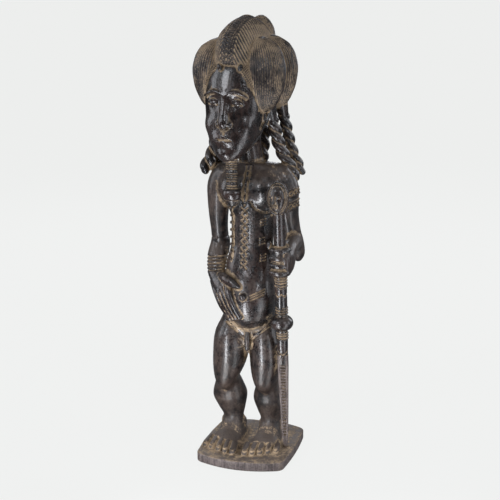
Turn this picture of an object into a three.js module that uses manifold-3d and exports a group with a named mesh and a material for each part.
// A carved wooden figure of a standing chief with a staff, on its plinth, cut from one block.
// Millimetres, +Z up, the figure looks along -Y, and the origin is under the middle of the plinth.
import * as THREE from 'three';
import { mergeVertices } from 'three/addons/utils/BufferGeometryUtils.js';
import Module from 'manifold-3d';

const wasm = await Module();
wasm.setup();

// Heights of the work
const TOP = 450;
const PLINTH_TOP = 10;
const ANKLE = 32;
const CALF = 56;
const KNEE = 70;
const CROTCH = 112;
const HIP = 124;
const NAVEL = 175.5;
const WAIST = 226;
const ARMPIT = 258;
const SHOULDER = 303;
const CHIN = 311;
const HAIRLINE = 402;

// Plinth
const PLINTH_HALF_WIDTH = 45.5;
const PLINTH_HALF_DEPTH = 45;
const PLINTH_BULGE = 12;
const PLINTH_SIDE_BOW = 5;
const PLINTH_CORNER = 4;

// Head: place of its upright middle axis, and how far it looks to the figure's right
const HEAD_AXIS = new THREE.Vector2(-7.2, 3.4);
const HEAD_TURN = THREE.MathUtils.degToRad(8);
const FACE_HALF_WIDTH = 29.5;
const EYE_SPACE = FACE_HALF_WIDTH / 2.5;
const FACE_FRONT = 46;
const FACE_MIDDLE = -2.5;
const EYE_LINE = 368;
const NOSE_BASE = 345;
const MOUTH_LINE = 333.5;
const LOBE_FOOT = 359;
const RIGHT_LOBE_RISE = 0.965;
const BEARD = new THREE.Vector2(-10.7, -32.5);

// Staff: foot and top of its axis, and its radii
const STAFF_FOOT = new THREE.Vector3(39, -8.4, PLINTH_TOP - 1);
const STAFF_TOP = new THREE.Vector3(37.2, -38, 295);
const STAFF_RADIUS = 6;
const STAFF_BALL = 11;
const STAFF_BALL_HEIGHT = 149;
const FINIAL_RADIUS = 11.4;
const FINIAL_HEIGHT = 279;
const GRIP = 214;

// Radii and depths of repeated details
const FINGER = 3.2;
const FIST_FINGER = 3.6;
const FIST_PITCH = 7.4;
const GROOVE = 0.955;
const PLAIT = 6;
const THIN_PLAIT = 5.5;
const PLAIT_TURNS = 2.4;
const BEARD_RIDGES = 7;
const BEARD_PITCH = 3.3;

// Shapes
const X_AXIS = new THREE.Vector3(1, 0, 0);
const Z_AXIS = new THREE.Vector3(0, 0, 1);
const TAU = 2 * Math.PI;
const LEFT = 1;
const RIGHT = -1;

function closedMesh(rings, start, end) {
  const sides = rings[0].length;
  const points = [start, ...rings.flat(), end];
  const index = [];
  const at = (row, side) => 1 + row * sides + (side % sides);
  for (let side = 0; side < sides; side++) {
    index.push(0, at(0, side + 1), at(0, side));
    index.push(points.length - 1, at(rings.length - 1, side), at(rings.length - 1, side + 1));
    for (let row = 0; row + 1 < rings.length; row++) {
      index.push(at(row, side), at(row, side + 1), at(row + 1, side + 1));
      index.push(at(row, side), at(row + 1, side + 1), at(row + 1, side));
    }
  }
  const geometry = new THREE.BufferGeometry().setFromPoints(points);
  geometry.setIndex(index);
  return geometry;
}

// A round stick through stations [x, y, z, radius across, radius along], in superellipse sections.
// The across direction is the given axis made square to the path.
function tube(stations, { sides = 16, rows = 3, across = X_AXIS, power = 2, carve = () => 1 } = {}) {
  const path = new THREE.CatmullRomCurve3(stations.map(([x, y, z]) => new THREE.Vector3(x, y, z)));
  const size = new THREE.CatmullRomCurve3(stations.map(([, , , a, b = a]) => new THREE.Vector3(a, b)));
  const count = (stations.length - 1) * rows;
  const rings = [];
  for (let row = 0; row <= count; row++) {
    const t = row / count;
    const centre = path.getPoint(t);
    const radii = size.getPoint(t);
    const tangent = path.getTangent(t);
    const sideways = across.clone().addScaledVector(tangent, -across.dot(tangent)).normalize();
    const forward = new THREE.Vector3().crossVectors(tangent, sideways);
    const ring = [];
    for (let side = 0; side < sides; side++) {
      const turn = (side / sides) * TAU;
      const scale = carve(t, side / sides, row, side);
      const a = Math.sign(Math.cos(turn)) * Math.abs(Math.cos(turn)) ** (2 / power) * radii.x * scale;
      const b = Math.sign(Math.sin(turn)) * Math.abs(Math.sin(turn)) ** (2 / power) * radii.y * scale;
      ring.push(centre.clone().addScaledVector(sideways, a).addScaledVector(forward, b));
    }
    rings.push(ring);
  }
  return closedMesh(rings, path.getPoint(0), path.getPoint(1));
}

function ball(x, y, z, a, b, c, sides = 14, rows = 10) {
  return new THREE.SphereGeometry(1, sides, rows).rotateX(Math.PI / 2).scale(a, b, c).translate(x, y, z);
}

function lathe(profile, sides) {
  const points = profile.map(([radius, height]) => new THREE.Vector2(radius, height));
  return new THREE.LatheGeometry(points, sides).rotateX(Math.PI / 2);
}

function solid(geometry) {
  const bare = geometry.clone();
  bare.deleteAttribute('normal');
  bare.deleteAttribute('uv');
  const merged = mergeVertices(bare, 1e-4);
  const mesh = new wasm.Mesh({
    numProp: 3,
    vertProperties: merged.attributes.position.array,
    triVerts: Uint32Array.from(merged.index.array),
  });
  mesh.merge();
  return new wasm.Manifold(mesh);
}

function join(geometries) {
  return geometries.map(solid).reduce((whole, next) => whole.add(next));
}

// Plinth: nearly straight sides, the front and the back edge bowed outward, corners rounded off
function plinth() {
  const w = PLINTH_HALF_WIDTH;
  const d = PLINTH_HALF_DEPTH;
  const c = PLINTH_CORNER;
  const bow = d + PLINTH_BULGE * 2;
  const outline = new THREE.Shape();
  outline.moveTo(-w + c, -d - c / 3);
  outline.quadraticCurveTo(c, -bow, w - c, -d - c / 3);
  outline.quadraticCurveTo(w, -d, w, -d + c);
  outline.quadraticCurveTo(w + PLINTH_SIDE_BOW, 0, w, d - c);
  outline.quadraticCurveTo(w, d, w - c, d + c / 3);
  outline.quadraticCurveTo(0, bow, -w + c, d + c / 3);
  outline.quadraticCurveTo(-w, d, -w, d - c);
  outline.quadraticCurveTo(-w - PLINTH_SIDE_BOW, 0, -w, -d + c);
  outline.quadraticCurveTo(-w, -d, -w + c, -d - c / 3);
  return new THREE.ExtrudeGeometry(outline, { depth: PLINTH_TOP, bevelEnabled: false, curveSegments: 5 });
}

// Legs, each with its foot and five toes: where the parts stand across the figure, and two toe tips
const RIGHT_LEG = {
  hip: -22.3,
  knee: -26.2,
  calf: -26.2,
  ankle: -22.2,
  toes: -26,
  bigToe: new THREE.Vector2(-9.2, -42.7),
  lastToe: new THREE.Vector2(-41, -31),
};
const LEFT_LEG = {
  hip: 17,
  knee: 15.2,
  calf: 17.8,
  ankle: 18.4,
  toes: 17,
  bigToe: new THREE.Vector2(3.6, -42.4),
  lastToe: new THREE.Vector2(33, -28),
};

function leg({ hip, knee, calf, ankle }) {
  const thigh = tube([
    [hip * 0.8, 5, HIP + 14, 13, 18],
    [hip * 0.95, 3, HIP, 17.5, 24],
    [hip, 0, CROTCH - 8, 17.8, 21.5],
    [hip + (knee - hip) * 0.6, -3, (CROTCH + KNEE) / 2 - 2, 14.6, 16.5],
    [knee, -6, KNEE + 8, 10.6, 11.5],
    [knee, -7, KNEE, 8.4, 8.4],
  ], { sides: 12, rows: 1 });
  const shin = tube([
    [knee, 2, KNEE + 13, 7, 8],
    [calf, 6, KNEE + 4, 12.6, 13.5],
    [calf, 11.5, CALF, 18.2, 16.5],
    [(calf + ankle) / 2, 11.5, CALF - 14, 14, 13],
    [ankle, 10, ANKLE + 1, 10.8, 10.5],
    [ankle, 9, ANKLE - 9, 12, 14],
    [ankle, 9, PLINTH_TOP - 1, 13, 16],
  ], { sides: 12, rows: 1 });
  return [thigh, shin];
}

function foot({ ankle, toes, bigToe, lastToe }) {
  const sole = PLINTH_TOP - 1;
  const inward = Math.sign(bigToe.x - lastToe.x);
  const spread = 14.5;
  const pieces = [tube([
    [ankle, 29, sole, 5, 8],
    [ankle, 24, sole, 11, 14],
    [ankle, 8, sole, 13, 20],
    [(ankle + toes) / 2, -8, sole, 16.5, 14],
    [toes, -20, sole, 18.5, 8.5],
    [toes, -26, sole, 18, 4],
  ], { sides: 10, rows: 1 })];
  for (let toe = 0; toe < 5; toe++) {
    const share = toe / 4;
    const tip = bigToe.clone().lerp(lastToe, share);
    tip.y -= 1.5 * Math.sin(share * Math.PI);
    const rootX = toes + inward * spread * (1 - 2 * share);
    const width = THREE.MathUtils.lerp(4.3, 3.2, share);
    pieces.push(tube([
      [rootX, -17, PLINTH_TOP + 2.6, width, 4.8],
      [tip.x, tip.y + 4.5, PLINTH_TOP + 1.6, width, 4.6],
      [tip.x, tip.y, PLINTH_TOP + 0.5, width * 0.7, 2.8],
    ], { sides: 5, rows: 1 }));
  }
  return pieces;
}

// Trunk: hips, belly with its navel knob, chest and the sloping shoulders
function trunk() {
  const body = tube([
    [-2, 8, CROTCH, 14, 12],
    [-2, 8, HIP - 2, 28, 22],
    [-1, 5, 141, 29, 22],
    [0, -2, 158, 26, 24],
    [0.4, -5, NAVEL, 25.5, 23.5],
    [0.4, -6, 200, 24.4, 20],
    [2, -5, WAIST, 21.2, 17.5],
    [2.2, -4, ARMPIT - 8, 21.6, 18],
    [0.6, -3.5, 271, 28, 18.5],
    [0.6, -2, 286, 35, 17],
    [0.5, 1, 296, 36, 14.5],
    [0, 2, 302, 27.5, 12],
    [-0.5, 3, 306, 16.5, 10.5],
  ], { sides: 16, rows: 1, power: 2.2 });
  const belly = ball(2.5, -11, NAVEL - 9.5, 25, 24.5, 29, 11, 8);
  const navel = ball(0.8, -36, NAVEL, 4, 3.6, 4, 6, 4);
  const breasts = [15.5, -15].map((x) => ball(x, -6, ARMPIT + 22, 16.8, 17.7, 19, 10, 6));
  const buttocks = [14, -17].map((x) => ball(x, 14, HIP + 1, 19, 19, 20, 10, 6));
  const sex = tube([
    [2, -14, HIP + 12, 3.4],
    [2, -20, HIP + 1, 3.6],
    [2, -20, HIP - 8, 3],
  ], { sides: 6, rows: 1 });
  return [body, belly, navel, ...breasts, ...buttocks, sex];
}

// Arms: the right hand lies on the belly, the left hand holds the staff
function rightArm() {
  const arm = tube([
    [-19, 3.5, 297, 8, 8],
    [-29.8, 4, 292.5, 10.5, 11.5],
    [-34.6, 4, 281, 11.8, 13],
    [-35.2, 4, 266, 11.4, 12.5],
    [-35.4, 4, 250, 10.1, 11],
    [-35, 6, 231, 8.8, 9.8],
    [-35, 8, 219, 9.8, 11],
    [-36, 1, 206, 10.6, 10],
    [-34.4, -8, 194, 9.4, 8],
    [-29.4, -15, 184, 7.6, 6],
    [-26, -19, 177, 6, 5],
  ], { sides: 10, rows: 1 });
  const palm = tube([
    [-31, -13, 190, 6, 6],
    [-26.5, -19, 182, 9.4, 5.6],
    [-21.5, -23, 172, 10, 5.4],
    [-16, -26.5, 161, 7.5, 4.4],
  ], { sides: 8, rows: 1, across: new THREE.Vector3(1, -0.5, 0.5).normalize() });
  const thumb = tube([
    [-30, -16, 197, 3.4],
    [-22, -24, 194.5, 5, 4.4],
    [-12, -30.5, 190, 4.8, 4],
    [-3, -34, 186.5, 1.4],
  ], { sides: 8, rows: 1, across: Z_AXIS });
  const pieces = [arm, palm, thumb];
  const innerRoot = new THREE.Vector3(-16, -28.5, 180);
  const outerRoot = new THREE.Vector3(-31.6, -20, 175);
  const innerTip = new THREE.Vector3(-2.6, -34.5, 155);
  const outerTip = new THREE.Vector3(-13.5, -29.5, 150.5);
  const arch = new THREE.Vector3(-1, -1.5, 0);
  for (let finger = 0; finger < 4; finger++) {
    const share = finger / 3;
    const root = innerRoot.clone().lerp(outerRoot, share);
    const tip = innerTip.clone().lerp(outerTip, share);
    const middle = root.clone().lerp(tip, 0.5).add(arch);
    pieces.push(tube([
      [root.x, root.y, root.z, FINGER],
      [middle.x, middle.y, middle.z, FINGER],
      [tip.x, tip.y, tip.z, FINGER * 0.75],
    ], { sides: 6, rows: 1 }));
  }
  return pieces;
}

function leftArm() {
  const arm = tube([
    [20, 3.5, 298, 8, 8],
    [30, 4, 293.5, 10.5, 11.5],
    [35.2, 5, 281, 11.6, 13],
    [35.8, 5.6, 275, 11, 12.6],
    [35.8, 5.8, 273, 12, 13.6],
    [35.9, 6, 271, 10.9, 12.4],
    [36, 6.6, 264, 10.7, 12.2],
    [36.1, 6.8, 262, 11.7, 13.2],
    [36.1, 7.1, 260, 10.5, 12],
    [36.4, 9, 250, 10, 11],
    [38, 14, 234, 9.4, 10],
    [40.4, 20, 220, 9, 9.5],
    [42.6, 23, 210, 6.2, 6.6],
    [43.2, 24, 201, 2.6, 3],
  ], { sides: 10, rows: 1 });
  const forearm = tube([
    [41, 18, 224, 7, 9],
    [43, 6, 225, 7.6, 8.5],
    [44, -8, 225, 7, 8.5],
    [44.4, -20, 221, 7, 10],
    [45, -28, 214, 6.6, 14],
    [44.8, -34, 212, 4, 11.5],
  ], { sides: 10, rows: 1 });
  const pieces = [arm, forearm];
  const axis = staffPoint(GRIP);
  const reach = STAFF_RADIUS + 1.6;
  for (let finger = 0; finger < 4; finger++) {
    const height = GRIP + 12 - finger * FIST_PITCH;
    const stations = [];
    for (let step = 0; step <= 4; step++) {
      const turn = THREE.MathUtils.degToRad(35 - step * 58);
      const thick = step === 4 ? FIST_FINGER * 0.67 : FIST_FINGER;
      stations.push([axis.x + reach * Math.cos(turn), axis.y + reach * Math.sin(turn), height, thick]);
    }
    pieces.push(tube(stations, { sides: 6, rows: 1, across: Z_AXIS }));
  }
  return pieces;
}

// Staff: finial head, shaft with turned rings, ball, and a flat blade with a pointed foot
function staffPoint(height) {
  const share = (height - STAFF_FOOT.z) / (STAFF_TOP.z - STAFF_FOOT.z);
  return STAFF_FOOT.clone().lerp(STAFF_TOP, share);
}

function ringRows(bottom, top, rings, radius) {
  const rows = [];
  const pitch = (top - bottom) / rings;
  for (let ring = 0; ring < rings; ring++) {
    rows.push([radius - 0.7, bottom + ring * pitch]);
    rows.push([radius + 0.7, bottom + (ring + 0.5) * pitch]);
  }
  rows.push([radius - 0.7, top]);
  return rows;
}

function staff() {
  const ballRows = [];
  for (let step = 1; step < 6; step++) {
    const turn = -Math.PI / 2 + (step / 6) * Math.PI;
    ballRows.push([STAFF_BALL * Math.cos(turn), STAFF_BALL_HEIGHT + 7.8 * Math.sin(turn)]);
  }
  const profile = [
    [0, 108],
    [STAFF_RADIUS - 0.8, 108],
    [STAFF_RADIUS - 0.5, 131],
    ...ringRows(133, 140, 2, STAFF_RADIUS - 0.2),
    ...ballRows,
    ...ringRows(158, 165, 2, STAFF_RADIUS),
    [STAFF_RADIUS, 167],
    [STAFF_RADIUS, 186],
    ...ringRows(188, 198, 2, STAFF_RADIUS + 0.3),
    [STAFF_RADIUS, 201],
    [STAFF_RADIUS - 0.4, 262],
    [0, 270],
  ];
  const direction = STAFF_TOP.clone().sub(STAFF_FOOT).normalize();
  const stretch = 1 / direction.z;
  const shaft = lathe(profile.map(([radius, height]) => [radius, (height - STAFF_FOOT.z) * stretch]), 8);
  shaft.applyQuaternion(new THREE.Quaternion().setFromUnitVectors(Z_AXIS, direction));
  shaft.translate(STAFF_FOOT.x, STAFF_FOOT.y, STAFF_FOOT.z);
  const bladeStations = [
    [PLINTH_TOP - 1, 1.6, 1.6],
    [20, 2.7, 2.6],
    [45, 3.5, 3.2],
    [86, 4.8, 3.8],
    [113, 6, 5],
  ];
  const blade = tube(bladeStations.map(([height, a, b]) => {
    const centre = staffPoint(height);
    return [centre.x, centre.y, height, a, b];
  }), { sides: 8, rows: 1, power: 3 });
  const head = staffPoint(FINIAL_HEIGHT);
  const middle = head.x - 1.2;
  const finial = ball(middle, head.y, head.z, FINIAL_RADIUS, 10, 16.5, 10, 8);
  const nose = ball(middle, head.y - 9.2, head.z - 3, 1.6, 2, 5, 5, 4);
  const mouth = ball(middle, head.y - 7.6, head.z - 10.5, 3.2, 2.4, 1.4, 5, 4);
  return [shaft, blade, finial, nose, mouth];
}

// Head: neck, face, ears, beard, the carved crest and lobes of hair, and the hanging plaits.
// Its places are given as side (to the figure's left), forward and height from the head's own axis.
function headPoint(side, forward, height) {
  const c = Math.cos(HEAD_TURN);
  const s = Math.sin(HEAD_TURN);
  const x = HEAD_AXIS.x + side * c - forward * s;
  const y = HEAD_AXIS.y - side * s - forward * c;
  return new THREE.Vector3(x, y, height);
}

function headSide() {
  return new THREE.Vector3(Math.cos(HEAD_TURN), -Math.sin(HEAD_TURN), 0);
}

function headTube(stations, options) {
  return tube(stations.map(([side, forward, height, ...radii]) => {
    const p = headPoint(side, forward, height);
    return [p.x, p.y, p.z, ...radii];
  }), { across: headSide(), ...options });
}

function headBall(side, forward, height, a, b, c, sides, rows) {
  const p = headPoint(side, forward, height);
  return ball(0, 0, 0, a, b, c, sides, rows).rotateZ(-HEAD_TURN).translate(p.x, p.y, p.z);
}

function skull() {
  const w = FACE_HALF_WIDTH;
  const f = FACE_FRONT;
  const m = FACE_MIDDLE;
  return headTube([
    [m, f - 9, CHIN + 0.5, 5, 4],
    [m, f - 12, CHIN + 3, 10, 8.5],
    [m, f - 18, CHIN + 10, 16.5, 16],
    [m, f - 24, CHIN + 20, w - 6, 23],
    [m, f - 29, CHIN + 32, w - 2, 28.5],
    [m, f - 33, CHIN + 46, w, 32.5],
    [m, f - 34.5, CHIN + 62, w + 1, 34],
    [m, f - 37.5, CHIN + 78, w + 0.5, 34.6],
    [m * 0.7, f - 39, HAIRLINE - 2, w - 3, 33],
    [m * 0.4, f - 40, HAIRLINE + 6, w - 8, 30],
    [m * 0.4, f - 42, HAIRLINE + 14, w - 16, 20],
  ], { sides: 16, rows: 1, power: 2.4 });
}

function eyeSocket(side) {
  return headBall(FACE_MIDDLE + side * EYE_SPACE, FACE_FRONT + 3.4, EYE_LINE + 1, 9.6, 7, 8, 10, 6);
}

function neck() {
  return tube([
    [-1, 4, SHOULDER - 6, 14, 13],
    [-1.5, 3.5, SHOULDER + 4, 12, 12],
    [-2, 1, SHOULDER + 16, 11.8, 12.5],
    [-4, -2, SHOULDER + 30, 13, 15],
    [-6, -4, SHOULDER + 42, 14, 16],
  ], { sides: 10, rows: 1 });
}

// Face: a calm, even one, its eyes half way up the head and its features a fifth of the width apart
function face() {
  const m = FACE_MIDDLE;
  const f = FACE_FRONT;
  const pieces = [
    headTube([
      [m, f - 3, EYE_LINE + 12, 2.6, 3],
      [m, f - 1, EYE_LINE, 3, 4],
      [m, f + 2, EYE_LINE - 13, 4.4, 4.6],
      [m, f + 2.5, NOSE_BASE + 3.5, 6.2, 5.4],
      [m, f, NOSE_BASE, 4.4, 3.4],
    ], { sides: 8, rows: 1 }),
    headBall(m, f - 4.4, MOUTH_LINE + 2.1, 9.6, 5.6, 2.5, 8, 4),
    headBall(m, f - 5, MOUTH_LINE - 2.6, 8.6, 5.6, 2.7, 8, 4),
  ];
  for (const side of [LEFT, RIGHT]) {
    pieces.push(headBall(m + side * EYE_SPACE, f - 6.6, EYE_LINE - 0.5, 7.4, 6.2, 4.4, 8, 5));
    pieces.push(headTube([
      [m + side * (FACE_HALF_WIDTH - 0.5), f - 27, NOSE_BASE - 1, 1.6],
      [m + side * (FACE_HALF_WIDTH + 1.8), f - 31, NOSE_BASE + 5, 2.8],
      [m + side * (FACE_HALF_WIDTH + 2.2), f - 34, NOSE_BASE + 15, 3],
      [m + side * (FACE_HALF_WIDTH + 1.8), f - 31, NOSE_BASE + 25, 2.8],
      [m + side * (FACE_HALF_WIDTH - 0.5), f - 26, NOSE_BASE + 27, 1.6],
    ], { sides: 6, rows: 1 }));
  }
  return pieces;
}

// Beard: a plaited strip in even ridges, hung from the chin and ending in a pointed knob
function beard() {
  const strip = [];
  for (let ridge = 0; ridge < BEARD_RIDGES; ridge++) {
    strip.push([5.2, CHIN - ridge * BEARD_PITCH]);
    strip.push([6.5, CHIN - (ridge + 0.5) * BEARD_PITCH]);
  }
  const knob = [[5.2, 287.5], [8.6, 283], [9.2, 280], [6.5, 274.5], [2.6, 270.5], [0, 268]];
  const profile = [[0, CHIN + 3], [5, CHIN + 3], ...strip, ...knob].reverse();
  return lathe(profile, 8).scale(1, 0.75, 1).translate(BEARD.x, BEARD.y, 0);
}

// Combed hair: every second edge line of a section stands in, as a groove
const combed = (t, u, row, side) => (side % 2 ? GROOVE : 1);

function lobe(angle) {
  const turn = THREE.MathUtils.degToRad(angle);
  const rise = angle < 0 ? RIGHT_LOBE_RISE : 1;
  const stations = [
    [31, LOBE_FOOT, 4, 3.6],
    [32.4, 362.5, 9.5, 8.5],
    [33.4, 370, 13.6, 11.8],
    [34.7, 384, 18.2, 15.7],
    [35, 398, 19.5, 17],
    [33, 411, 18, 16.4],
    [29, 421, 15, 15],
    [23, 429.5, 7, 8],
  ];
  const across = headPoint(Math.cos(turn), -Math.sin(turn), 0).sub(headPoint(0, 0, 0));
  return headTube(stations.map(([out, height, a, b]) => [
    out * Math.sin(turn),
    out * Math.cos(turn),
    LOBE_FOOT + (height - LOBE_FOOT) * rise,
    a,
    b,
  ]), { sides: 14, rows: 1, across, carve: combed });
}

// The crest covers the top of the head like a tent, with its parting as a ridge in front
function crest() {
  const frontTurn = 0.75 * TAU;
  const lift = (t, u) => {
    const low = Math.max(0, 1 - t / 0.3);
    return 1 - 0.3 * low * Math.max(0, Math.cos(u * TAU - frontTurn)) ** 4;
  };
  return headTube([
    [-1, -4, 389, 32.5, 38.4],
    [-1, -2.5, 398, 32.5, 43.6],
    [-0.5, -1, 406, 31.5, 46.5],
    [0, 0, 418, 30, 45],
    [0, 0, 430, 25.5, 39],
    [0.5, 0, 440, 16.5, 26],
    [1, 0, 446.5, 7.5, 13],
    [1.5, 0, TOP - 0.5, 2.5, 4],
  ], { sides: 16, rows: 1, power: 1.8, carve: lift });
}

function backLobe() {
  return headTube([
    [0, -37, 358, 6, 6],
    [0, -37, 370, 13, 11],
    [1, -36, 392, 16, 14],
    [3, -34, 415, 16, 15],
    [5, -32, 433, 13.6, 13.5],
    [5, -31, 441, 10, 10],
    [5, -30.5, 445.5, 4, 4],
  ], { sides: 12, rows: 1, carve: combed });
}

// A plait is a two-strand rope: its section has two bulges that wind along it, under a smooth root
function plait(points, radius) {
  const last = points.length - 1;
  const stations = points.map(([x, y, z], i) => [x, y, z, i === last ? radius * 0.8 : radius]);
  const root = 0.2;
  const strands = (t, u) => Math.abs(Math.cos(TAU * (u - (t - root) * PLAIT_TURNS)));
  const rope = (t, u) => (t < root ? 1 : 0.82 + 0.24 * strands(t, u));
  return tube(stations, { sides: 6, rows: 3, carve: rope });
}

function plaits() {
  const leftFront = [[17, 0, 362], [21, 5, 343], [27, 9, 320], [35.2, 11, 303], [41.6, 9, 289]];
  const leftRear = [[25, 17, 364], [28.6, 22, 343], [34, 24, 319], [40, 21, 305], [46, 17, 294]];
  const rightFront = [[-34, 7, 362], [-37.5, 10, 338], [-41, 8, 318], [-45.5, 5, 304], [-48.5, 2, 292]];
  const rightRear = [[-33.5, 25, 362], [-37, 25, 336], [-39, 22, 314], [-41.5, 18, 302], [-42.5, 14, 293]];
  const backLeft = [[3, 37, 368], [4.5, 30, 344], [6, 25, 322], [5.5, 15, 300]];
  const backRight = [[-9, 38, 368], [-10, 30, 344], [-10.5, 25, 322], [-9, 15, 300]];
  return [
    plait(leftFront, PLAIT),
    plait(rightFront, PLAIT),
    ...[leftRear, rightRear, backLeft, backRight].map((points) => plait(points, THIN_PLAIT)),
    ball(-49, 2, 294, PLAIT, PLAIT, 5.4, 8, 5),
  ];
}

const head = solid(skull()).subtract(join([LEFT, RIGHT].map(eyeSocket)));
const whole = join([
  plinth(),
  ...[RIGHT_LEG, LEFT_LEG].flatMap(leg),
  ...[RIGHT_LEG, LEFT_LEG].flatMap(foot),
  ...trunk(),
  ...rightArm(),
  ...leftArm(),
  ...staff(),
  neck(),
  ...face(),
  beard(),
  ...[60, -60, 120, -120].map(lobe),
  crest(),
  backLobe(),
  ...plaits(),
]).add(head);
const ground = new THREE.BoxGeometry(4 * PLINTH_HALF_WIDTH, 4 * PLINTH_HALF_DEPTH, 2 * PLINTH_TOP);
const figure = whole.subtract(solid(ground.translate(0, 0, -PLINTH_TOP)));

function toGeometry(manifold) {
  const mesh = manifold.getMesh();
  const geometry = new THREE.BufferGeometry();
  geometry.setAttribute('position', new THREE.BufferAttribute(Float32Array.from(mesh.vertProperties), 3));
  geometry.setIndex(Array.from(mesh.triVerts));
  return geometry;
}

const wood = new THREE.MeshStandardMaterial({ color: 0x2a211d, roughness: 0.4, metalness: 0 });
const chief = new THREE.Mesh(toGeometry(figure), wood);
chief.name = 'chief_figure';

const group = new THREE.Group();
group.add(chief);

export default group;
